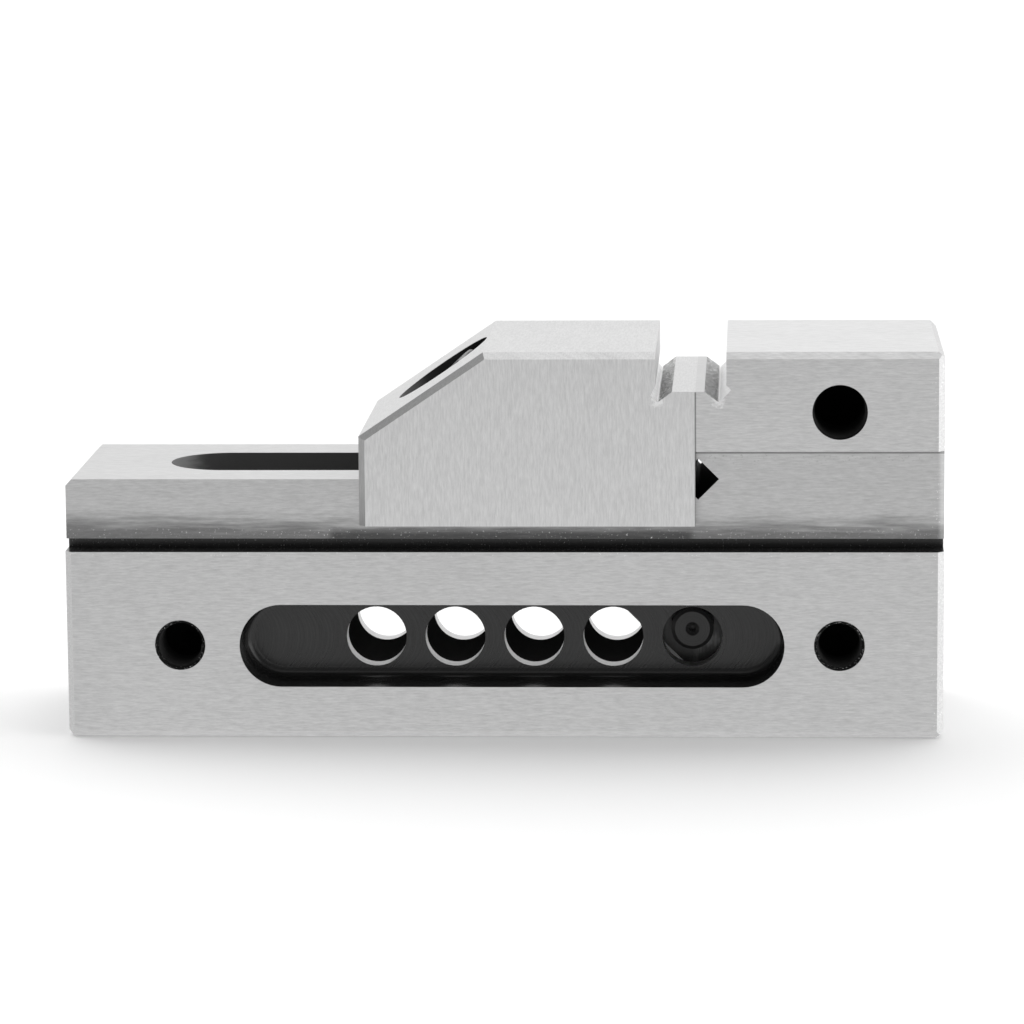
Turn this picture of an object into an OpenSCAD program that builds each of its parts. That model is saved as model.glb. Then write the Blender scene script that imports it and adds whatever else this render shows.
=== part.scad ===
// Precision toolmaker's vise: a ground steel body with a fixed jaw, a saddle jaw that
// slides on its rail, and a slanted screw that draws the jaw down onto a cross pin.
// Millimetres. +X runs towards the fixed jaw, +Z is up, and the origin is the centre
// of the bottom face. The jaws are shown closed.

/* [Body] */
// Overall length of the body
body_l = 165; // [155:1:180]
// Overall width of the body and of both jaws
body_w = 50; // [48:1:60]
// Height of the lower block, up to the floor of the side grooves
block_h = 35.4; // [34:0.2:40]
// Bevel along the outer edges
edge = 1.2; // [0.6:0.1:1.6]

/* [Rail] */
// Depth of the recess along each side, which leaves the rail that the moving jaw straddles
recess_d = 3; // [2:0.1:4]
// Height of the rail's side above the groove
rail_side_h = 11.3; // [10:0.1:14]
// Height of the side clamping groove
groove_h = 2.1; // [1.5:0.1:3]
// Depth of the side groove behind the side of the rail
groove_d = 3; // [2:0.5:5]

/* [Fixed jaw] */
// Length of the fixed jaw
fixed_l = 46.4; // [44:0.2:50]
// Height of both jaws above the rail
jaw_h = 24.2; // [22:0.2:28]
// Height of the narrow foot of the fixed jaw above the rail
foot_h = 5.6; // [5:0.1:8]
// Half diagonal of the relief at the foot of the jaw face
corner_relief = 3.9; // [3:0.1:4.4]
// Offset of that relief's centre behind the jaw face
corner_offset = 0.5; // [0:0.1:1]

/* [Jaw steps] */
// Depth of the step below the top of the jaws
step_d = 7.3; // [6:0.1:9]
// Length of the step on the fixed jaw
fixed_step = 5.8; // [5:0.1:8]
// Length of the step on the moving jaw
moving_step = 7.4; // [6:0.1:9]
// Width of the sloping side of the step's relief groove
relief_w = 2.7; // [2:0.1:3.4]
// Depth of the step's relief groove
relief_d = 2; // [1:0.1:2.6]
// Distance from the fixed step's wall to the bottom of its relief
fixed_tip = 1.4; // [0.4:0.1:2]
// Distance from the moving step's wall to the bottom of its relief
moving_tip = 0.4; // [0.2:0.1:2]
// How far the relief cuts up the wall of the step
relief_up = 1.2; // [0.6:0.1:2]
// How far the relief cuts into the wall of the step
relief_in = 0.9; // [0.4:0.1:1.4]

/* [Slot] */
// Width of the slot through the body
slot_w = 22; // [20:0.5:24]
// Distance from the free end of the body to the slot
slot_start = 17.6; // [14:0.2:24]
// Distance from the jaw face back to the end of the slot in the rail
slot_back = 4.6; // [4.2:0.1:5]
// Reach of the lower cavity under the fixed jaw, past the jaw face
cavity_reach = 20; // [18:0.5:22]
// Thickness of the metal over the lower cavity, up to the top of the rail
cavity_roof = 9.8; // [8:0.1:11]

/* [Side pockets] */
// Length of each side pocket, over its round ends
pocket_l = 102.5; // [90:0.5:104]
// Height of each side pocket
pocket_h = 15.7; // [14:0.1:18]
// Thickness of the wall left between each side pocket and the slot
pocket_wall = 4; // [3:0.1:6]
// Distance of the pocket's middle from the middle of the body
pocket_x = 1.5; // [0:0.1:2]
// Height of the pocket's middle above the bottom face
pocket_z = 17.5; // [16:0.1:20]
// Fillet round the floor of the pocket
pocket_fillet = 2; // [1:0.1:2.4]

/* [Cross pin] */
// Number of holes for the cross pin
pin_holes = 5; // [3:1:5]
// Distance between neighbouring holes
pin_pitch = 15; // [13:0.5:15]
// Diameter of each hole
pin_hole_d = 11.4; // [10.4:0.1:12]
// Distance from the jaw face back to the first hole
pin_back = 0.7; // [0.2:0.1:1.2]
// Diameter of the cross pin
pin_d = 8; // [7.6:0.1:8.6]
// How far each end of the cross pin stands out from the floor of its pocket
pin_proud = 1; // [0.5:0.1:3]
// Bevel at each end of the cross pin
pin_bevel = 0.7; // [0.3:0.1:1]
// Mouth diameter of the lathe centre in each end of the pin
centre_d = 2.6; // [1.5:0.1:3]
// Diameter of the small drilling at the bottom of the lathe centre
centre_drill_d = 1; // [0.6:0.1:1.2]
// Depth of the small drilling below the cone
centre_drill_l = 1.2; // [0.8:0.1:2]

/* [Tapped holes] */
// Tapping diameter of the two lower holes in each side
side_hole_d = 8.5; // [6.8:0.1:8.5]
// Width of the countersink round the lower holes
side_lip = 0.55; // [0.2:0.05:1]
// Depth of the thread in the lower holes
side_hole_l = 12; // [10:0.5:12.5]
// Distance from the free end of the body to the first lower hole
side_hole_start = 21.5; // [14:0.5:23]
// Distance from the jaw end of the body to the second lower hole
side_hole_end = 19.5; // [12:0.5:20]
// Height of the lower holes above the bottom face
side_hole_z = 17.6; // [15:0.1:20]
// Tapping diameter of the stop hole in each side of the fixed jaw
stop_hole_d = 10.3; // [8:0.1:10.5]
// Depth of the thread in the stop hole
stop_hole_l = 18; // [12:0.5:19]
// Height of the stop hole below the top of the jaw
stop_hole_drop = 11.2; // [10:0.1:13]

/* [Moving jaw] */
// Length of the moving jaw
jaw_l = 63; // [61:0.5:66]
// Height of the jaw's rear face above the rail
rear_h = 8.4; // [8:0.1:9.4]
// Angle of the slope at the rear of the jaw
slope_angle = 34; // [33:0.5:35]
// Depth that the cheeks reach below the top of the rail
cheek_drop = 8.5; // [7:0.1:10]
// Sliding gap between each cheek and the side of the rail
cheek_gap = 0.1; // [0.05:0.01:0.2]

/* [Clamp screw] */
// Angle of the screw above the level
screw_angle = 45; // [44:0.5:46]
// Thread diameter of the screw
screw_d = 8; // [7:0.5:8]
// Distance from the end of the screw to the bottom of its thread in the nut
screw_end_gap = 2; // [1:0.1:6]
// Diameter of the screw's head
head_d = 13; // [12:0.1:13]
// Height of the screw's head
head_h = 8; // [7:0.1:8]
// Width across the flats of the hexagon socket
socket_w = 6; // [5:0.5:6]
// Depth of the hexagon socket
socket_d = 4.5; // [3:0.1:5]
// Bevel round the top of the head
head_bevel = 0.8; // [0.4:0.1:1]
// Depth of the head's top below the slope of the jaw
head_recess = 1.2; // [1:0.1:1.6]
// Diameter of the counterbore that takes the head
counterbore_d = 20; // [19.4:0.1:20.4]
// Gap at each side of the screw in the slot that it swings in
swing_gap = 0.75; // [0.5:0.05:1.5]
// Flattest angle of the screw, with the jaw drawn back
swing_angle = 37; // [36:0.1:38]

/* [Ball washer] */
// Radius of the spherical underside of the washer
ball_r = 12; // [11.5:0.1:12.5]
// Gap round the washer in the counterbore
washer_side_gap = 2; // [2:0.1:3]
// Gap round the screw in the washer's bore
washer_bore_gap = 0.3; // [0.2:0.05:0.5]
// Distance from the centre of the sphere to the washer's flat top
washer_drop = 7.4; // [6.8:0.1:7.8]
// Gap between the washer and its seat in the jaw
seat_gap = 0.35; // [0.35:0.05:0.5]

/* [Draw nut] */
// Gap at each side of the nut in the slot
nut_side_gap = 3; // [2.7:0.1:4]
// Thickness of the nut
nut_t = 15; // [14:0.5:15]
// Distance from the top of the rail down to the nut's upper corner
nut_top_gap = 1.8; // [1.2:0.1:5]
// Length of the nut's tail below the pin
nut_tail = 11; // [9.5:0.5:11.5]
// Bevel along the edges of the nut
nut_bevel = 0.8; // [0.4:0.1:1.2]
// Wall left between the threaded hole and the pin hole
nut_wall = 2.4; // [1.5:0.1:3]
// Diameter of the set screw that drags on the pin
set_d = 5; // [4:0.5:5]
// Width across the flats of the set screw's socket
set_socket_w = 2.5; // [2:0.5:2.5]
// Depth of the set screw's socket
set_socket_d = 2.5; // [1.5:0.5:3]

/* [Hidden] */

// Facets that stand for a true circle
$fn = 96;
// Overrun of every cut past the face that it opens
over = 1;
// Radial gap of a turning or sliding fit
run_gap = 0.05;
// Turns used to lay shapes along the axes
right_turn = 90;
bevel_turn = 45;
// Sides of a hexagon, and the half angle of a twist drill's point
hex_sides = 6;
drill_angle = 59;
root2 = sqrt(2);

left_x = -body_l / 2;
right_x = body_l / 2;
face_x = right_x - fixed_l;
groove_z = block_h + groove_h;
rail_z = groove_z + rail_side_h;
top_z = rail_z + jaw_h;
step_z = top_z - step_d;
foot_z = rail_z + foot_h;
side_y = body_w / 2;
rail_y = side_y - recess_d;
cavity_h = rail_z - cavity_roof;
pocket_d = side_y - slot_w / 2 - pocket_wall;
side_mouth_d = side_hole_d + 2 * side_lip;

// Place of the cross pin, which the screw draws up against the top of its hole
pin_x = face_x - pin_back;
pin_z = pocket_z + (pin_hole_d - pin_d) / 2 - run_gap;
pin_l = body_w - 2 * pocket_d + 2 * pin_proud;

// Profile of the moving jaw
jaw_x = face_x - jaw_l;
rear_z = rail_z + rear_h;
cheek_z = rail_z - cheek_drop;
slope_l = (top_z - rear_z) / tan(slope_angle);

// Distances along the screw's axis, from the axis of the cross pin
slope_t = (rear_z + (pin_x - jaw_x) * tan(slope_angle) - pin_z)
    / (sin(screw_angle) + cos(screw_angle) * tan(slope_angle));
head_top_t = slope_t - head_recess;
head_t = head_top_t - head_h;
ball_t = head_t + washer_drop;
thread_floor_t = pin_d / 2 + run_gap + nut_wall;
screw_end_t = thread_floor_t + screw_end_gap;
screw_l = head_t - screw_end_t;

// Sizes that follow the screw, the counterbore and the slot
swing_slot_w = screw_d + 2 * swing_gap;
washer_d = counterbore_d - 2 * washer_side_gap;
washer_bore_d = screw_d + 2 * washer_bore_gap;
nut_w = slot_w - 2 * nut_side_gap;
nut_reach = (rail_z - nut_top_gap - pin_z - nut_t / 2 * cos(screw_angle)) / sin(screw_angle);

// Draws a two-dimensional profile in X and Z, spread evenly about Y = 0
module across(width)
    rotate([right_turn, 0, 0]) linear_extrude(height = width, center = true) children();

// Plate that cuts a bevel along an edge through the origin; lean picks its diagonal, 1 or -1
module bevel_bar(size, run, lean)
    rotate([lean * bevel_turn, 0, 0]) cube([run, size * root2, 2 * size * root2], center = true);

// Bevels along the front edges, and across the ends at the height z
module bevel_along_x(y, z, lean)
    translate([0, y, z]) bevel_bar(edge, body_l * root2, lean);

module bevel_along_y(x, z, lean)
    translate([x, 0, z]) rotate([0, 0, right_turn]) bevel_bar(edge, body_w * root2, lean);

module bevel_along_z(x, y)
    translate([x, y, 0]) rotate([0, right_turn, 0]) bevel_bar(edge, 2 * (top_z + over), -sign(x));

// Stands children on the axis of the screw, whose far end is the cross pin
module on_screw_axis(t = 0)
    translate([pin_x, 0, pin_z]) rotate([0, screw_angle - right_turn, 0]) translate([0, 0, t]) children();

// Upright slot with round ends, from x = a to x = b
module upright_slot(a, b, width, z0, z1) {
    r = width / 2;
    translate([a + r, -r, z0]) cube([b - a - width, width, z1 - z0]);
    for (x = [a + r, b - r])
        translate([x, 0, z0]) cylinder(r = r, h = z1 - z0);
}

// Half of a milling cutter's outline, with its corner radius
module cutter_half() {
    r = pocket_h / 2;
    square([r - pocket_fillet, pocket_d]);
    translate([0, -over]) square([r, pocket_d - pocket_fillet + over]);
    translate([r - pocket_fillet, pocket_d - pocket_fillet]) circle(r = pocket_fillet);
}

// Pocket in the front face; the cutter comes in along +Y
module side_pocket() {
    half_run = (pocket_l - pocket_h) / 2;
    translate([pocket_x, -side_y, pocket_z]) {
        for (x = [-half_run, half_run])
            translate([x, 0, 0]) rotate([-right_turn, 0, 0]) rotate_extrude() cutter_half();
        for (flip = [0, 1])
            mirror([0, 0, flip]) rotate([0, right_turn, 0]) rotate([0, 0, right_turn])
                linear_extrude(height = 2 * half_run, center = true)
                    mirror([0, 1]) rotate([0, 0, -right_turn]) cutter_half();
    }
}

// Blind tapped hole in the front face, with a countersunk mouth and a drill point
module blind_hole(x, z, d, length, mouth_d)
    translate([x, -side_y, z]) rotate([-right_turn, 0, 0]) {
        cylinder(d = d, h = length);
        translate([0, 0, length]) cylinder(d1 = d, d2 = 0, h = d / 2 / tan(drill_angle));
        lip = (mouth_d - d) / 2;
        cylinder(d1 = mouth_d, d2 = d, h = lip);
        translate([0, 0, -over]) cylinder(d = mouth_d, h = over);
    }

// Recess and clamping groove along the front, from the lower block up to the foot of the jaw
module side_recess()
    rotate([right_turn, 0, right_turn]) linear_extrude(height = body_l + 2 * over, center = true)
        polygon([
            [-side_y - over, block_h],
            [-rail_y + groove_d, block_h],
            [-rail_y + groove_d, groove_z],
            [-rail_y, groove_z],
            [-rail_y, foot_z],
            [-side_y - over, foot_z]
        ]);

// Square relief on its corner, which runs along the foot of the fixed jaw's face
module foot_relief()
    translate([face_x + corner_offset, rail_z]) rotate([0, 0, bevel_turn])
        square(corner_relief * root2, center = true);

// Relief groove in the corner of a step; the floor of the step runs towards +X
module step_relief(tip)
    polygon([
        [tip + relief_w, 0],
        [tip, -relief_d],
        [-relief_in, -relief_d + tip + relief_in],
        [0, relief_up],
        [tip, relief_up]
    ]);

module base_body()
    color("lightgray")
        difference() {
            across(body_w)
                difference() {
                    polygon([[left_x, 0], [right_x, 0], [right_x, rail_z], [left_x, rail_z]]);
                    foot_relief();
                }
            for (end_x = [left_x, right_x])
                bevel_along_y(end_x, 0, sign(end_x));
            bevel_along_y(left_x, rail_z, 1);
            for (flip = [0, 1])
                mirror([0, flip, 0]) {
                    bevel_along_x(-side_y, 0, 1);
                    bevel_along_z(left_x, -side_y);
                    bevel_along_z(right_x, -side_y);
                    side_recess();
                    side_pocket();
                    for (x = [left_x + side_hole_start, right_x - side_hole_end])
                        blind_hole(x, side_hole_z, side_hole_d, side_hole_l, side_mouth_d);
                }
            upright_slot(left_x + slot_start, face_x - slot_back, slot_w, -over, rail_z + over);
            upright_slot(left_x + slot_start, face_x + cavity_reach, slot_w, -over, cavity_h);
            for (i = [0 : pin_holes - 1])
                translate([pin_x - i * pin_pitch, 0, pocket_z]) rotate([right_turn, 0, 0])
                    cylinder(d = pin_hole_d, h = body_w - pocket_d, center = true);
        }

// Machined in one with the body; it meets the top of the rail on a flat face
module fixed_jaw()
    color("silver")
        difference() {
            across(body_w)
                difference() {
                    polygon([
                        [face_x, rail_z], [right_x, rail_z], [right_x, top_z],
                        [face_x + fixed_step, top_z], [face_x + fixed_step, step_z], [face_x, step_z]
                    ]);
                    translate([face_x + fixed_step, step_z]) mirror([1, 0]) step_relief(fixed_tip);
                    foot_relief();
                }
            bevel_along_y(right_x, top_z, -1);
            for (flip = [0, 1])
                mirror([0, flip, 0]) {
                    bevel_along_x(-side_y, top_z, -1);
                    bevel_along_z(right_x, -side_y);
                    side_recess();
                    stop_z = top_z - stop_hole_drop;
                    blind_hole(right_x - side_hole_end, stop_z, stop_hole_d, stop_hole_l, stop_hole_d);
                }
        }

// Straight slot in which the screw swings below its seat, along its middle angle
module swing_room() {
    half_swing = (screw_angle - swing_angle) / 2;
    ball_z = pin_z + ball_t * sin(screw_angle);
    reach = (ball_z - rail_z) / sin(swing_angle);
    shift = reach * tan(half_swing);
    on_screw_axis(ball_t) rotate([0, -half_swing, 0]) translate([0, 0, -2 * reach]) {
        for (x = [-shift, shift])
            translate([x, 0, 0]) cylinder(d = swing_slot_w, h = 2 * reach);
        translate([-shift, -swing_slot_w / 2, 0]) cube([2 * shift, swing_slot_w, 2 * reach]);
    }
}

module moving_jaw()
    color("gainsboro")
        difference() {
            across(body_w)
                difference() {
                    polygon([
                        [jaw_x, cheek_z], [face_x, cheek_z], [face_x, step_z],
                        [face_x - moving_step, step_z], [face_x - moving_step, top_z],
                        [jaw_x + slope_l, top_z], [jaw_x, rear_z]
                    ]);
                    translate([face_x - moving_step, step_z]) step_relief(moving_tip);
                }
            channel_w = 2 * (rail_y + cheek_gap);
            translate([jaw_x - over, -channel_w / 2, cheek_z - over])
                cube([jaw_l + 2 * over, channel_w, rail_z - cheek_z + over]);
            for (flip = [0, 1])
                mirror([0, flip, 0]) {
                    bevel_along_x(-side_y, top_z, -1);
                    bevel_along_z(jaw_x, -side_y);
                    translate([jaw_x, -side_y, rear_z]) rotate([0, -slope_angle, 0])
                        bevel_bar(edge, body_l, -1);
                }
            on_screw_axis(ball_t) {
                intersection() {
                    sphere(r = ball_r + seat_gap);
                    translate([0, 0, -ball_r - over]) cylinder(d = counterbore_d, h = ball_r + over);
                }
                cylinder(d = counterbore_d, h = body_w);
            }
            swing_room();
        }

module clamp_screw()
    color("dimgray")
        on_screw_axis(screw_end_t)
            difference() {
                union() {
                    thread_bevel = screw_d / 8;
                    cylinder(d1 = screw_d - 2 * thread_bevel, d2 = screw_d, h = thread_bevel);
                    translate([0, 0, thread_bevel]) cylinder(d = screw_d, h = screw_l - thread_bevel);
                    translate([0, 0, screw_l]) cylinder(d = head_d, h = head_h - head_bevel);
                    translate([0, 0, screw_l + head_h - head_bevel])
                        cylinder(d1 = head_d, d2 = head_d - 2 * head_bevel, h = head_bevel);
                }
                translate([0, 0, screw_l + head_h - socket_d])
                    cylinder(d = socket_w / cos(right_turn / 3), h = socket_d + over, $fn = hex_sides);
            }

module ball_washer()
    color("gray")
        on_screw_axis(ball_t)
            difference() {
                intersection() {
                    sphere(r = ball_r);
                    translate([0, 0, -ball_r]) cylinder(d = washer_d, h = ball_r - washer_drop);
                }
                translate([0, 0, -ball_r - over]) cylinder(d = washer_bore_d, h = ball_r + over);
            }

module draw_nut()
    color("darkslategray")
        on_screw_axis()
            difference() {
                nut_l = nut_reach + nut_tail;
                translate([-nut_t / 2, -nut_w / 2, -nut_tail]) cube([nut_t, nut_w, nut_l]);
                for (x = [-nut_t / 2, nut_t / 2], y = [-nut_w / 2, nut_w / 2])
                    translate([x, y, 0]) rotate([0, right_turn, 0])
                        bevel_bar(nut_bevel, 3 * nut_l, sign(x * y));
                translate([0, 0, thread_floor_t])
                    cylinder(d = screw_d + 2 * run_gap, h = nut_reach - thread_floor_t + over);
                rotate([right_turn, 0, 0])
                    cylinder(d = pin_d + 2 * run_gap, h = nut_w + 2 * over, center = true);
                translate([0, 0, -nut_tail - over])
                    cylinder(d = set_d + 2 * run_gap, h = nut_tail + over);
            }

module cross_pin() {
    r = pin_d / 2;
    end_y = pin_l / 2;
    cone_l = (centre_d - centre_drill_d) / 2 * tan(right_turn - bevel_turn);
    color("darkslategray")
        translate([pin_x, 0, pin_z]) rotate([right_turn, 0, 0])
            rotate_extrude()
                polygon([
                    [0, -end_y + cone_l + centre_drill_l],
                    [centre_drill_d / 2, -end_y + cone_l + centre_drill_l],
                    [centre_drill_d / 2, -end_y + cone_l],
                    [centre_d / 2, -end_y],
                    [r - pin_bevel, -end_y],
                    [r, -end_y + pin_bevel],
                    [r, end_y - pin_bevel],
                    [r - pin_bevel, end_y],
                    [centre_d / 2, end_y],
                    [centre_drill_d / 2, end_y - cone_l],
                    [centre_drill_d / 2, end_y - cone_l - centre_drill_l],
                    [0, end_y - cone_l - centre_drill_l]
                ]);
}

module pin_set_screw() {
    set_top_t = -pin_d / 2 - run_gap;
    set_l = nut_tail + set_top_t;
    color("dimgray")
        on_screw_axis(-nut_tail)
            difference() {
                cylinder(d = set_d, h = set_l);
                translate([0, 0, -over])
                    cylinder(d = set_socket_w / cos(right_turn / 3), h = set_socket_d + over,
                        $fn = hex_sides);
            }
}

base_body();
fixed_jaw();
moving_jaw();
clamp_screw();
ball_washer();
draw_nut();
cross_pin();
pin_set_screw();
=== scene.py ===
import math

import bpy
from mathutils import Matrix, Vector


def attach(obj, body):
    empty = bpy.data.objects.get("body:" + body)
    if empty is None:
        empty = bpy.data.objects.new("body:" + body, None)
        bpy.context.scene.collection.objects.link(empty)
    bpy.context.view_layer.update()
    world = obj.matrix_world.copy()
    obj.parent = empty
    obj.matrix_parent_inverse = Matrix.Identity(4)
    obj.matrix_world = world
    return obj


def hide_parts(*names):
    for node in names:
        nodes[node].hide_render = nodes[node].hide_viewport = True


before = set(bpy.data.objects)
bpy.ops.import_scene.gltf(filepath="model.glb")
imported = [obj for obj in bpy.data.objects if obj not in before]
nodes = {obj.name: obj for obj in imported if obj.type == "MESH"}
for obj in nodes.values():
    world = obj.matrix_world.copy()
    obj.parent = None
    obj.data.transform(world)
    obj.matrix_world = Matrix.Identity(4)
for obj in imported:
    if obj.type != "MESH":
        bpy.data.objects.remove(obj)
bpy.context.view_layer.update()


# Body: one block of hardened tool steel, surface ground along its length. The grooves,
# the slot, the side pockets and the holes were blackened before the outside was ground.


# A value that varies from place to place: a node's output, whose sums make further nodes
class Field:
    def __init__(self, tree, socket):
        self.tree = tree
        self.socket = socket

    def __add__(self, other):
        return calc("ADD", self, other)

    def __sub__(self, other):
        return calc("SUBTRACT", self, other)

    def __rsub__(self, other):
        return calc("SUBTRACT", other, self)

    def __mul__(self, other):
        return calc("MULTIPLY", self, other)

    def __truediv__(self, other):
        return calc("DIVIDE", self, other)

    def __pow__(self, other):
        return calc("POWER", self, other)

    def __abs__(self):
        return calc("ABSOLUTE", self)


def feed(value, socket):
    if isinstance(value, Field):
        value.tree.links.new(value.socket, socket)
    else:
        socket.default_value = value


def calc(operation, *values):
    tree = next(value.tree for value in values if isinstance(value, Field))
    made = tree.nodes.new("ShaderNodeMath")
    made.operation = operation
    for value, socket in zip(values, made.inputs):
        feed(value, socket)
    return Field(tree, made.outputs[0])


def least(first, *others):
    for other in others:
        first = calc("MINIMUM", first, other)
    return first


def most(first, second):
    return calc("MAXIMUM", first, second)


def root(value):
    return calc("SQRT", value)


# 1 where the term is above zero, and 0 where it is below
def mask(term, softness=0.02):
    made = term.tree.nodes.new("ShaderNodeMapRange")
    made.inputs["From Min"].default_value = -softness
    made.inputs["From Max"].default_value = softness
    feed(term, made.inputs["Value"])
    return Field(term.tree, made.outputs["Result"])


def fade(value, start, end, low=0.0, high=1.0):
    made = value.tree.nodes.new("ShaderNodeMapRange")
    made.interpolation_type = "SMOOTHSTEP"
    for label, number in zip(("From Min", "From Max", "To Min", "To Max"), (start, end, low, high)):
        made.inputs[label].default_value = number
    feed(value, made.inputs["Value"])
    return Field(value.tree, made.outputs["Result"])


def between(amount, first, second):
    made = amount.tree.nodes.new("ShaderNodeMix")
    made.data_type = "FLOAT"
    for value, socket in zip((amount, first, second), (made.inputs[0], made.inputs[2], made.inputs[3])):
        feed(value, socket)
    return Field(amount.tree, made.outputs[0])


# The value times a factor, only where the given mask is 1
def tinted(value, where, factor):
    return value * between(where, 1.0, factor)


def point_in_mm(tree):
    place = tree.nodes.new("ShaderNodeTexCoord")
    grown = tree.nodes.new("ShaderNodeVectorMath")
    grown.operation = "SCALE"
    grown.inputs["Scale"].default_value = 1000.0
    tree.links.new(place.outputs["Object"], grown.inputs[0])
    return Field(tree, grown.outputs[0])


def split(place):
    made = place.tree.nodes.new("ShaderNodeSeparateXYZ")
    feed(place, made.inputs[0])
    return [Field(place.tree, part) for part in made.outputs]


# How squarely the surface faces along X, Y and Z, either way: 1 where it is square to it
def facing(tree):
    place = tree.nodes.new("ShaderNodeTexCoord")
    return [abs(part) for part in split(Field(tree, place.outputs["Normal"]))]


def place_at(x, y=0.0, z=0.0):
    made = x.tree.nodes.new("ShaderNodeCombineXYZ")
    for value, socket in zip((x, y, z), made.inputs):
        feed(value, socket)
    return Field(x.tree, made.outputs[0])


# The point counted in grains of the given sizes in millimetres; the shift gives other noise
def in_grains(point, sizes, shift=0.0):
    made = point.tree.nodes.new("ShaderNodeVectorMath")
    made.operation = "MULTIPLY_ADD"
    made.inputs[1].default_value = [1.0 / size for size in sizes]
    made.inputs[2].default_value = (shift, shift * 0.7, shift * 1.3)
    feed(point, made.inputs[0])
    return Field(point.tree, made.outputs[0])


def noise(place, detail, harshness=0.5):
    made = place.tree.nodes.new("ShaderNodeTexNoise")
    made.inputs["Scale"].default_value = 1.0
    made.inputs["Detail"].default_value = detail
    made.inputs["Roughness"].default_value = harshness
    feed(place, made.inputs["Vector"])
    return Field(place.tree, made.outputs[0])


# Noise about zero, drawn out to the given length, breadth and height in millimetres
def marks(point, sizes, detail=2.0, shift=0.0, harshness=0.5):
    return noise(in_grains(point, sizes, shift), detail, harshness) - 0.5


# Streaks of the grinding wheel, drawn out along one axis
def wheel_streaks(point, axis, shift=0.0):
    length, breadth = 2.2, 0.3
    sizes = [length if letter == axis else breadth for letter in "XYZ"]
    return marks(point, sizes, detail=5.0, shift=shift, harshness=0.68)


# Ground along the given axis, but along Y where the mask is 1
def ground_both_ways(point, axis, along_y):
    return between(along_y, wheel_streaks(point, axis), wheel_streaks(point, "Y", shift=4.0))


# Grey of ground steel about the given level, streaked by the wheel and a little clouded
def ground_grey(level, streaks, cloud):
    return streaks * 0.42 + level + cloud * 0.05


# Bright nicks where edges were knocked; the rarer, the fewer of them
def nicks(point, size, rarity):
    grains = noise(in_grains(point, (size, size, size)), detail=3.0, harshness=0.7)
    return fade(grains, rarity, rarity + 0.05)


# 1 on the bevels where two faces meet, from the parts of the normal along those faces
def on_bevel(first, second):
    return mask(least(first, second) - 0.6)


def new_finish(name):
    made = bpy.data.materials.new(name)
    made.use_nodes = True
    return made, made.node_tree, made.node_tree.nodes["Principled BSDF"]


# Gives a shader its grey, roughness and metal, and raises its surface by the relief
def dress(shader, value, roughness, metallic, relief, height):
    tree = relief.tree
    grey = tree.nodes.new("ShaderNodeCombineColor")
    for socket in grey.inputs[:3]:
        feed(value, socket)
    tree.links.new(grey.outputs[0], shader.inputs["Base Color"])
    feed(roughness, shader.inputs["Roughness"])
    feed(metallic, shader.inputs["Metallic"])
    bump = tree.nodes.new("ShaderNodeBump")
    bump.inputs["Strength"].default_value = 1.0
    bump.inputs["Distance"].default_value = height
    feed(relief, bump.inputs["Height"])
    tree.links.new(bump.outputs[0], shader.inputs["Normal"])


# Bright ground steel where black is 0, blackened steel where it is 1
def dress_ground(shader, value, black, black_value, black_rough, relief):
    ground_rough = 0.38
    value = between(black, value, black_value)
    roughness = between(black, ground_rough, black_rough)
    dress(shader, value, roughness, 1.0 - black, relief, height=0.00003)


body_steel, tree, shader = new_finish("body_ground_steel")
point = point_in_mm(tree)
x, y, z = split(point)
face_x, face_y, face_z = facing(tree)

# Sizes of the body in millimetres; skin keeps a mask just clear of the faces it follows
half_l = 82.5
half_w = 25.0
bevel_size = 1.2
rail_side = 22.0
rail_top = 48.8
groove_top = 37.5
slot_side = 11.0
slot_end = 32.5
pocket_floor = 15.0
cutter_r_squared = 61.6
hole_row = 17.5
hole_r = 5.7
pin_x = 35.4
pin_pitch = 15.0
holes_end = 43.0
skin = 0.05

# A face is taken as square to an axis where its normal has more than this along it
square = 0.9

# Black is everything that doesn't lie on the outer faces, their bevels or the rail's sides
reach_y = abs(y)
to_side = half_w - reach_y
to_right = half_l - x
to_left = x + half_l
to_top = rail_top - z
corners = (
    (to_side, z), (to_side, to_left), (to_side, to_right), (to_left, z), (to_right, z), (to_top, to_left)
)
bevel_reach = bevel_size + 2 * skin
off_bevels = [a + b - bevel_reach for a, b in corners]
off_faces = [side - skin for side in (to_side, to_right, to_left, to_top, z)]
off_rail = most(groove_top - skin - z, rail_side - skin - reach_y)
black = mask(least(off_rail, *off_bevels, *off_faces))

# The wheel ran along X on the long faces and along Y on the two ends
streaks = ground_both_ways(point, "X", along_y=mask(face_x - 0.8))
cloud = marks(point, (22.0, 14.0, 14.0), shift=9.0)
value = ground_grey(0.645, streaks, cloud)

# Painted shade: the side of the rail is painted darker towards the groove, and darker
# still in a painted shadow along the foot of the moving jaw's cheeks
wave = marks(point, (11.0, 3.0, 0.8), detail=4.0, shift=2.0)
sunk = fade(x, -25.0, -70.0, low=0.9, high=1.7)
groove_painted_shade = fade(z + wave * 6.0 - sunk, 36.8, 42.0)
near_rail = rail_side + 1.0 - reach_y
on_rail = mask(least(z - groove_top, near_rail, to_top)) * mask(face_y - square)
along_cheek = fade(x, -33.5, -31.5) * fade(x, 36.5, 34.5)
cheek_painted_shadow = along_cheek * fade(z, 40.2, 38.0)
shade = tinted(between(groove_painted_shade, 0.36, 0.93), cheek_painted_shadow, 0.45)
value = tinted(value, on_rail, shade)

# Painted light and shade: faces that look up and the right-hand corners are painted brighter, and the
# foot's bevels darker
value = tinted(value, mask(face_z - square), 1.1)
value = tinted(value, on_bevel(face_x, face_y) * mask(x), 1.25)
value = tinted(value, on_bevel(face_y, face_z) * mask(bevel_reach - z), 0.9)
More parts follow.
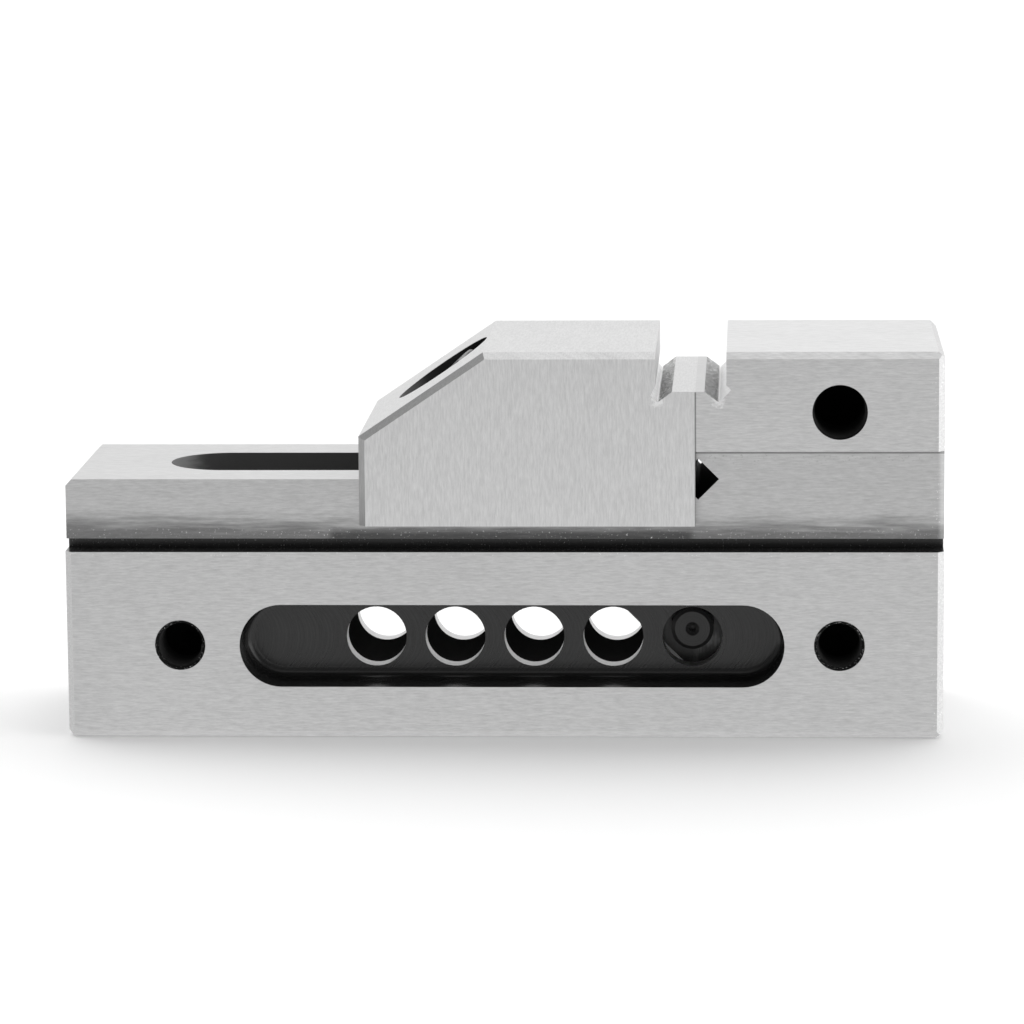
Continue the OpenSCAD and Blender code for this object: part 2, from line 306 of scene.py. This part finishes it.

# Knocks along the groove and down the right-hand corner, and a lighter strip along the right-hand edge
knocks_z = 37.0
near_groove = fade(abs(z - knocks_z), 3.0, 1.4)
near_corner = fade(to_right, 3.5, 0.5)
knocks = nicks(point, size=0.5, rarity=0.62) * most(near_groove, near_corner)
right_edge_lightening = fade(to_right, 1.3, 0.3) * on_rail
value = value + knocks * 0.6 + right_edge_lightening * 0.22

# Milling cutter's arcs across the floor of the side pockets
off_row = (z - hole_row) ** 2.0
arc = root(most(cutter_r_squared - off_row, 0.0))
arcs = noise(place_at((x - arc) * 2.6, z=z * 0.08), detail=2.0) - 0.5
arcs = arcs * mask(0.2 - abs(reach_y - pocket_floor))

# The slot's walls are painted paler near the top, as light coming in, and paler towards its free end
in_slot = mask(least(slot_side + 0.02 - reach_y, slot_end - x))
free_end = fade(x + wave * 4.0, -58.5, -64.0) * in_slot
slot_top_painted_light = fade(z, 34.0, 44.0) * in_slot
stains = marks(point, (3.0, 3.0, 3.0), detail=4.0, shift=5.0)
black_value = stains * 0.012 + 0.018 + arcs * 0.04 + knocks * near_groove * 0.2
black_value = black_value + slot_top_painted_light * 0.1 + free_end * 0.3

# The five pin holes were reamed after the blacking, so their walls are bare
holes_off = (x - pin_x) / pin_pitch
off_hole = (holes_off - calc("ROUND", holes_off)) * pin_pitch
reamed = least(
    hole_r + skin - root(off_hole ** 2.0 + off_row),
    reach_y - (slot_side + 0.06),
    pocket_floor - 0.04 - reach_y,
    holes_end - abs(x),
)
black = black * (1.0 - mask(reamed))

# The tapped holes, with painted glints at their mouths, and the relief under the jaw are duller
tapped_middle, tapped_from, tapped_top, tapped_inner = 1.5, 54.0, 30.0, 9.5
jaw_relief_from = 44.0
near_ends = abs(x - tapped_middle) - tapped_from
tapped = mask(least(near_ends, tapped_top - z, reach_y - tapped_inner))
mouth_painted_glints = nicks(point, size=0.4, rarity=0.6) * fade(to_side, 2.2, 0.6)
dull = most(tapped, mask(z - jaw_relief_from) * (1.0 - in_slot))
black_value = between(dull, black_value, mouth_painted_glints * 0.5 + 0.008)
feed(between(dull, 0.5, 0.08), shader.inputs["Specular IOR Level"])
relief = between(black, streaks * 0.35, arcs)
dress_ground(shader, value, black, black_value, between(dull, 0.22, 0.6), relief)
nodes["base_body"].material_slots[0].material = body_steel


# Fixed jaw: the upright end of the body, machined in one with it and ground with it. Its
# stop holes and the relief at its foot are black, and its step ends in a bright relief.


# Sizes of the jaws in millimetres: where they meet, the floor of the step above, and the top
jaw_face = 36.1
step_floor = 65.6
jaw_top = 73.0


# Torn, speckled steel in the relief groove of a step, whose bottom is at the given X, white along its
# bottom.
# The flank towards the jaw faces is painted darker, as shade, and pale burrs show on the sides round its
# end.
def torn_relief(point, x, y, z, value, bottom_x, outward):
    inner_reach, outer_reach, outer_rise = 2.68, 2.4, 1.3
    low_z, burr_z, high_z = 63.5, 63.9, 66.9
    past = (x - bottom_x) * outward
    flank_top = mask(past) * outer_rise + (step_floor + 0.06)
    in_relief = mask(least(
        half_w - 0.03 - abs(y),
        past + inner_reach,
        outer_reach - past,
        high_z - z,
        z - low_z,
        flank_top - z,
    ))
    patches = marks(point, (0.6, 0.6, 0.6), detail=4.0, shift=11.0)
    outer = mask(past, softness=0.1)
    grains = nicks(point, size=0.6, rarity=0.45)
    torn_and_shaded_value = between(outer, 0.78, 0.95) - grains * between(outer, 0.62, 0.15)
    torn_and_shaded_value = between(fade(abs(past), 0.3, 0.1), torn_and_shaded_value, 1.0)
    away = root(past ** 2.0 + (z - burr_z) ** 2.0)
    burr = fade(away + patches * 3.0, 1.5, 0.5)
    return between(in_relief, value + burr * 0.2, torn_and_shaded_value), in_relief, patches


# Diagonal nicks of the wheel in the narrow bevels along the top edges, as a change of value
def bevel_hatch(x, y, z, face_y, face_z):
    hatch = noise(place_at((x + z * 2.2) * 0.5, y * 0.05), detail=3.0) - 0.5
    on_top_bevel = mask(least(face_y - 0.6, face_z - 0.6, z - (jaw_top - 1.4)))
    return hatch * on_top_bevel * 0.22


jaw_end_steel, tree, shader = new_finish("fixed_jaw_ground_steel")
point = point_in_mm(tree)
x, y, z = split(point)
face_x, face_y, face_z = facing(tree)
stop_x = 63.0
stop_z = 61.8
stop_r = 5.15
corner_x = 36.6
corner_reach = 3.95
foot_top = 54.4

# Black are the walls of the stop holes and of the square relief in the corner at the foot
reach_y = abs(y)
off_stop = root((x - stop_x) ** 2.0 + (z - stop_z) ** 2.0)
in_stop = least(stop_r + 2 * skin - off_stop, half_w - skin - reach_y)
off_corner = abs(x - corner_x) + abs(z - rail_top)
in_corner = least(corner_reach - off_corner, x - (jaw_face + 0.1), rail_side - skin - reach_y)
black = mask(most(in_stop, in_corner))

streaks = ground_both_ways(point, "X", along_y=mask(face_x - 0.8))
cloud = marks(point, (22.0, 14.0, 14.0), shift=9.0)
# Painted light: its grey is a little lighter than the body's, and its corner bevels and top faces are
# painted brighter still
value = ground_grey(0.675, streaks, cloud)
value = tinted(value, on_bevel(face_x, face_y), 1.2)
value = tinted(value, mask(least(face_z - square, z - (jaw_top - 3.0))), 1.2)

# Its foot is the side of the rail, painted a little darker as shade, with a painted shadow line under
# the overhang
near_rail = rail_side + 1.0 - reach_y
on_foot = mask(least(foot_top - z, near_rail)) * mask(face_y - square)
pits = nicks(point, size=0.5, rarity=0.6) * fade(z, 50.5, 53.0)
foot_shade = between(fade(z, 53.45, 53.75), 0.9 - pits * 0.25, 0.4)
value = tinted(value, on_foot, foot_shade)

# Its right-hand edge is knocked, and lighter in a strip along the edge
to_right = half_l - x
right_edge_lightening = fade(to_right, 1.3, 0.3) * on_foot
knocks = nicks(point, size=0.5, rarity=0.62) * fade(to_right, 3.5, 0.5)
value = value + right_edge_lightening * 0.22 + knocks * 0.4

# Painted shade: a dark line where the two jaw faces meet
face_line_painted_shade = mask(least(jaw_face + 0.16 - x, step_floor - z))
value = tinted(value, face_line_painted_shade, 0.4) + bevel_hatch(x, y, z, face_y, face_z)
value, in_relief, patches = torn_relief(point, x, y, z, value, bottom_x=40.5, outward=1.0)

# Bare, torn patches at the mouth of the relief in the foot of the jaw, set where highlights fall, so
# partly a painted highlight
torn_above, torn_below, torn_top, torn_inner = 49.9, 46.0, 54.0, 20.0
above = z - (patches * 3.0 + torn_above)
below = patches * 2.0 + torn_below - z
torn_glint_patches = mask(least(most(above, below), torn_top - z, reach_y - torn_inner))
black = black * (1.0 - torn_glint_patches * nicks(point, size=1.5, rarity=0.4))
shader.inputs["Specular IOR Level"].default_value = 0.08
relief = between(in_relief, streaks * 0.35, patches)
dress_ground(shader, value, black, 0.008, 0.5, relief)
nodes["fixed_jaw"].material_slots[0].material = jaw_end_steel


# Threads: each side of the body has two M10 holes below and one M12 stop hole in the jaw.
# Each thread is a closed spiral ridge that stands a little out of the wall of its hole.


def leave_all():
    if bpy.context.mode != "OBJECT":
        bpy.ops.object.mode_set(mode="OBJECT")
    bpy.ops.object.select_all(action="DESELECT")


def only(piece):
    leave_all()
    piece.select_set(True)
    bpy.context.view_layer.objects.active = piece


def settle(piece):
    only(piece)
    bpy.ops.object.transform_apply(location=True, rotation=True, scale=True)
    return piece


# A three-sided profile wound up the Z axis; pointing is 1 for a screw and -1 for a hole
def spiral_ridge(name, crest, depth, pitch, length, pointing):
    steps = 40
    corner = depth / 1.5
    leave_all()
    bpy.ops.mesh.primitive_circle_add(
        vertices=3, radius=corner, location=(crest - pointing * corner, 0, 0),
        rotation=(math.pi / 2, pointing * math.pi / 2, 0),
    )
    ridge = bpy.context.object
    ridge.name = name
    settle(ridge)
    turning = ridge.modifiers.new("turning", "SCREW")
    turning.axis = "Z"
    turning.angle = 2 * math.pi
    turning.screw_offset = pitch
    turning.iterations = int(length / pitch)
    turning.steps = steps
    turning.render_steps = steps
    turning.use_merge_vertices = False
    bpy.ops.object.modifier_apply(modifier=turning.name)
    bpy.ops.object.mode_set(mode="EDIT")
    bpy.ops.mesh.select_all(action="SELECT")
    bpy.ops.mesh.fill_holes(sides=4)
    bpy.ops.mesh.normals_make_consistent(inside=False)
    bpy.ops.object.mode_set(mode="OBJECT")
    bpy.ops.object.shade_smooth_by_angle(angle=math.radians(40))
    return ridge


thread_steel, tree, shader = new_finish("blackened_thread")
point = point_in_mm(tree)
worn = marks(point, (0.8, 0.5, 0.8), detail=3.0, shift=3.0)
shader.inputs["Specular IOR Level"].default_value = 0.15
dress(shader, worn * 0.03 + 0.02, worn * 0.2 + 0.42, 0.2, worn, height=0.00002)

# One ridge of each size is made, and a copy of it stands in every hole of that size
depth = 0.00045
m10 = spiral_ridge("m10", crest=0.00395, depth=depth, pitch=0.0015, length=0.0110, pointing=-1)
m12 = spiral_ridge("m12", crest=0.00480, depth=depth, pitch=0.00175, length=0.0172, pointing=-1)

# Each hole's place along X and Z, and how far from the middle of the body its thread starts
tapped_holes = (
    ("rail_end", m10, -0.061, 0.0176, 0.0136),
    ("jaw_end", m10, 0.063, 0.0176, 0.0136),
    ("stop", m12, 0.063, 0.0618, 0.0078),
)
for side, outward in (("front", -1), ("rear", 1)):
    for label, pattern, hole_x, hole_z, starts_at in tapped_holes:
        only(pattern)
        bpy.ops.object.duplicate()
        ridge = bpy.context.object
        ridge.name = f"thread_{side}_{label}"
        ridge.location.z = starts_at
        settle(ridge)
        ridge.rotation_euler.x = -outward * math.pi / 2
        ridge.location = (hole_x, 0, hole_z)
        settle(ridge)
        ridge.data.materials.append(thread_steel)
        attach(ridge, "base")
for pattern in (m10, m12):
    only(pattern)
    bpy.ops.object.delete()


# Moving jaw: a saddle of the same steel that slides on the rail. It is ground upwards on
# its sides, and the slanted counterbore and slot for the screw are blackened.


moving_steel, tree, shader = new_finish("moving_jaw_ground_steel")
point = point_in_mm(tree)
x, y, z = split(point)
face_x, face_y, face_z = facing(tree)
jaw_left = -26.9
slope_foot = 57.2
bore_side = 10.08
bore_end = 28.0

# Depth below the slope, which starts at the left end of the jaw and rises at 34 degrees
slope_sine, slope_cosine = 0.5592, 0.8290
below_slope = (x - jaw_left) * slope_sine + (slope_foot - z) * slope_cosine
in_bore = least(
    bore_side - abs(y),
    x - (jaw_left + skin),
    bore_end - x,
    z - (rail_top + skin),
    jaw_top - skin - z,
    below_slope - skin,
)
black = mask(in_bore)
streaks = ground_both_ways(point, "Z", along_y=mask(face_z - 0.75))
cloud = marks(point, (12.0, 14.0, 18.0), shift=9.0)
value = ground_grey(0.745, streaks, cloud)
# Painted shade: the upright corner bevels are painted darker
value = tinted(value, on_bevel(face_x, face_y), 0.75)
# Painted shade: a dark line where the two jaw faces meet
face_line_painted_shade = mask(least(x - (jaw_face - 0.12), step_floor - z))
value = tinted(value, face_line_painted_shade, 0.45) + bevel_hatch(x, y, z, face_y, face_z)
value, in_relief, patches = torn_relief(point, x, y, z, value, bottom_x=29.1, outward=-1.0)
relief = between(in_relief, streaks * 0.35, patches)
dress_ground(shader, value, black, 0.025, 0.22, relief)
nodes["moving_jaw"].material_slots[0].material = moving_steel


# Cross pin: a turned bar that is pushed through one of five holes. It is black oxide over
# the lathe's rings, which show on its ends round the small centre holes.


def lathe_rings(radius, along, fineness=5.0):
    return noise(place_at(radius * fineness, along * (fineness * 0.6)), detail=2.0) - 0.5


pin_black, tree, shader = new_finish("pin_black_oxide")
x, y, z = split(point_in_mm(tree))
pin_z = 19.15
off_axis = root((x - pin_x) ** 2.0 + (z - pin_z) ** 2.0)
rings = lathe_rings(off_axis, y)
dress(shader, rings * 0.05 + 0.035, rings * 0.2 + 0.36, 0.4, rings, height=0.00004)
nodes["cross_pin"].material_slots[0].material = pin_black


# Draw nut: a milled, blackened steel block that hangs on the cross pin and takes the
# screw. Long cutter marks run up its sides, and it is rubbed bright in patches.


nut_black, tree, shader = new_finish("nut_blackened_steel")
point = point_in_mm(tree)
cutter = marks(point, (0.5, 0.5, 3.0), detail=3.0, shift=6.0)
patch = marks(point, (5.0, 5.0, 5.0), detail=4.0, shift=1.0)
rubbed = fade(patch + cutter * 0.4, 0.05, 0.3)
value = between(rubbed, cutter * 0.04 + 0.07, 0.2)
dress(shader, value, cutter * 0.2 + 0.4, rubbed * 0.4 + 0.4, cutter, height=0.00004)
nodes["draw_nut"].material_slots[0].material = nut_black


# Set screw: a small grub screw in the tail of the nut. Its tip drags on the cross pin, so
# that the pin doesn't slip out when the vise is turned over.


grub_black, tree, shader = new_finish("grub_screw_black_oxide")
point = point_in_mm(tree)
fine = marks(point, (0.4, 0.4, 0.4), detail=4.0, shift=8.0)
dress(shader, fine * 0.03 + 0.03, fine * 0.3 + 0.38, 0.3, fine, height=0.00002)
nodes["pin_set_screw"].material_slots[0].material = grub_black


# Ball washer: a turned and hardened ring with a round underside. It lets the screw tilt
# in the jaw as the nut swings, and the lathe's rings run round it.


washer_steel, tree, shader = new_finish("washer_turned_steel")
x, y, z = split(point_in_mm(tree))

# The screw's axis starts at the cross pin and rises to the left at 45 degrees
half_root2 = 0.70711
off_x = x - pin_x
off_z = z - pin_z
along = (off_z - off_x) * half_root2
across = (off_z + off_x) * half_root2
rings = lathe_rings(root(across ** 2.0 + y ** 2.0), along, fineness=6.0)
dress(shader, rings * 0.3 + 0.42, rings * 0.2 + 0.34, 1.0, rings, height=0.00004)
nodes["ball_washer"].material_slots[0].material = washer_steel


# Clamp screw: an M8 socket head cap screw with a knurled head, black oxide. It goes down
# through the washer and the jaw into the nut, and pulls the jaw along and down.


# Selects the vertices or edges whose corners are all wanted, and stays in edit mode
def pick(piece, kind, wanted):
    bpy.ops.object.mode_set(mode="EDIT")
    bpy.ops.mesh.select_mode(type=kind)
    bpy.ops.mesh.select_all(action="DESELECT")
    bpy.ops.object.mode_set(mode="OBJECT")
    spots = piece.data.vertices
    for item in spots if kind == "VERT" else piece.data.edges:
        corners = (item.index,) if kind == "VERT" else item.vertices
        item.select = all(wanted(spots[corner].co) for corner in corners)
    bpy.ops.object.mode_set(mode="EDIT")


# A round bar along Z with a bevel at its upper or lower end
def turned_bar(radius, low, high, sides, bevel, segments, upper):
    leave_all()
    middle = (low + high) / 2
    bpy.ops.mesh.primitive_cylinder_add(
        vertices=sides, radius=radius, depth=high - low, location=(0, 0, middle)
    )
    bar = settle(bpy.context.object)
    near = 0.00001
    pick(bar, "EDGE", lambda spot: spot.z > high - near if upper else spot.z < low + near)
    bpy.ops.mesh.bevel(offset=bevel, segments=segments, affect="EDGES")
    bpy.ops.object.mode_set(mode="OBJECT")
    return bar


# Sizes of the screw in metres, with heights measured along its axis from the cross pin
head_r = 0.0065
head_from = 0.058425
head_top = head_from + 0.008
shank_r = 0.004
shank_from = 0.036
core_r = 0.0033
tip = 0.00845
socket_flats = 0.006
socket_deep = 0.0045
knurl_columns = 120


# Every second column of the knurl lies a little deeper
def in_valley(spot):
    column = round(math.atan2(spot.y, spot.x) / (2 * math.pi / knurl_columns))
    on_side = math.hypot(spot.x, spot.y) > head_r - 0.0001
    return on_side and spot.z < head_top - 0.0007 and column % 2 == 0


head = turned_bar(head_r, head_from, head_top, knurl_columns, bevel=0.0008, segments=3, upper=True)
pick(head, "VERT", in_valley)
bpy.ops.transform.resize(value=(0.972, 0.972, 1.0), center_override=(0, 0, head_from))
leave_all()
bpy.ops.mesh.primitive_cylinder_add(
    vertices=6, radius=socket_flats / 2 / math.cos(math.pi / 6), depth=socket_deep * 2,
    location=(0, 0, head_top),
)
key = settle(bpy.context.object)
only(head)
broach = head.modifiers.new("broach", "BOOLEAN")
broach.operation = "DIFFERENCE"
broach.object = key
broach.solver = "EXACT"
bpy.ops.object.modifier_apply(modifier=broach.name)
only(key)
bpy.ops.object.delete()
shank = turned_bar(shank_r, shank_from, head_from, 64, bevel=0.0006, segments=2, upper=False)
core = turned_bar(core_r, tip, shank_from + 0.0005, 64, bevel=0.0008, segments=2, upper=False)
winding = spiral_ridge(
    "winding", crest=shank_r, depth=0.00075, pitch=0.00125, length=0.0262, pointing=1
)
winding.location.z = tip + 0.0009
settle(winding)
only(head)
for other in (shank, core, winding):
    other.select_set(True)
bpy.ops.object.join()
screw = head
screw.name = "cap_screw"
screw.data.name = "cap_screw"
bpy.ops.object.shade_smooth_by_angle(angle=math.radians(25))
screw.rotation_euler = (0, -math.pi / 4, 0)
screw.location = (0.0354, 0, 0.01915)
settle(screw)

screw_black, tree, shader = new_finish("cap_screw_black_oxide")
point = point_in_mm(tree)
fine = marks(point, (0.3, 0.3, 0.3), detail=4.0, shift=8.0)
smear = marks(point, (3.0, 3.0, 3.0), shift=2.0)
value = fine * 0.03 + 0.03 + smear * 0.03
dress(shader, value, smear * 0.3 + 0.3, 0.4, fine, height=0.00002)
screw.data.materials.clear()
screw.data.materials.append(screw_black)
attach(screw, "screw")
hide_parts("clamp_screw")


# Floor: a plain white sheet under the vise, wide enough to fill the picture. It keeps the
# soft shadow, and the steel mirrors it as an even white.


leave_all()
bpy.ops.mesh.primitive_plane_add(size=6.0, location=(0, 0, -0.0001))
floor = settle(bpy.context.object)
floor.name = "floor"
paper, tree, shader = new_finish("white_floor")
shader.inputs["Base Color"].default_value = (0.9, 0.9, 0.9, 1)
shader.inputs["Roughness"].default_value = 0.9
shader.inputs["Specular IOR Level"].default_value = 0.0
shader.inputs["Emission Color"].default_value = (1, 1, 1, 1)
rays = tree.nodes.new("ShaderNodeLightPath").outputs
feed(Field(tree, rays["Is Camera Ray"]) * 0.06, shader.inputs["Emission Strength"])
even_white = tree.nodes.new("ShaderNodeEmission")
even_white.inputs["Color"].default_value = (1, 1, 1, 1)
even_white.inputs["Strength"].default_value = 0.9
mirrored = tree.nodes.new("ShaderNodeMixShader")
by_mirror = most(Field(tree, rays["Is Glossy Ray"]), Field(tree, rays["Is Transmission Ray"]))
feed(by_mirror, mirrored.inputs[0])
tree.links.new(shader.outputs[0], mirrored.inputs[1])
tree.links.new(even_white.outputs[0], mirrored.inputs[2])
tree.links.new(mirrored.outputs[0], tree.nodes["Material Output"].inputs["Surface"])
paper.cycles.emission_sampling = "NONE"
floor.data.materials.append(paper)


# Light: a soft white tent that is dark at the front and left and brighter to the right, a
# broad lamp overhead, and a soft sun high up behind that lays the shadow forward.


room = bpy.data.worlds.new("soft_tent")
bpy.context.scene.world = room
room.use_nodes = True
tree = room.node_tree
tree.nodes.clear()
place = tree.nodes.new("ShaderNodeTexCoord")
go_x, go_y, go_z = split(Field(tree, place.outputs["Generated"]))
from_front, behind, overhead, right, left, high_left = 0.22, 0.98, 0.8, 1.8, 0.3, 0.25
glow = between(fade(go_y, -0.2, 0.7), from_front, behind)
glow = between(fade(go_z, 0.6, 0.9), glow, overhead)
glow = between(fade(go_x, 0.55, 0.85), glow, right)
glow = between(fade(go_x * -1.0, 0.55, 0.85), glow, left)
to_high_left = go_x * -0.627 + go_y * -0.135 + go_z * 0.767
glow = between(fade(to_high_left, 0.88, 0.97), glow, high_left)
tent = tree.nodes.new("ShaderNodeBackground")
tent.inputs["Color"].default_value = (1, 1, 1, 1)
feed(glow, tent.inputs["Strength"])
out = tree.nodes.new("ShaderNodeOutputWorld")
tree.links.new(tent.outputs[0], out.inputs["Surface"])

leave_all()
bpy.ops.object.light_add(type="AREA", location=(0.0, 0.1, 1.2), rotation=(0, 0, 0))
lamp = bpy.context.object
lamp.name = "overhead_lamp"
lamp.data.shape = "RECTANGLE"
lamp.data.size = 1.4
lamp.data.size_y = 1.0
lamp.data.energy = 1.0

leave_all()
high_behind = Vector((-0.25, 0.62, 0.744)).to_track_quat("Z", "Y").to_euler()
bpy.ops.object.light_add(type="SUN", location=(-0.4, 1.0, 1.2), rotation=high_behind)
sun = bpy.context.object
sun.name = "soft_sun"
sun.data.energy = 1.75
sun.data.angle = math.radians(90)
sun.visible_glossy = False


# Camera: a long lens low in front of the vise, a little to its right, as in the picture.
# Its place and angles were solved from the edges that recede in the photograph.


bpy.ops.object.camera_add()
camera = bpy.context.object
pan = Matrix.Rotation(math.radians(2.8805), 3, "Z")
tilt = Matrix.Rotation(math.radians(-9.4026), 3, "X")
roll = Matrix.Rotation(math.radians(0.4634), 3, "Y")
level = Matrix.Rotation(math.radians(90), 3, "X")
stand = Matrix.Translation(Vector((0.046678, -0.916232, 0.190829)))
camera.matrix_world = stand @ (pan @ tilt @ roll @ level).to_4x4()
camera.data.sensor_width = 36.0
camera.data.lens = 170.069
bpy.context.scene.camera = camera
bpy.context.scene.view_settings.view_transform = "Standard"
leave_all()
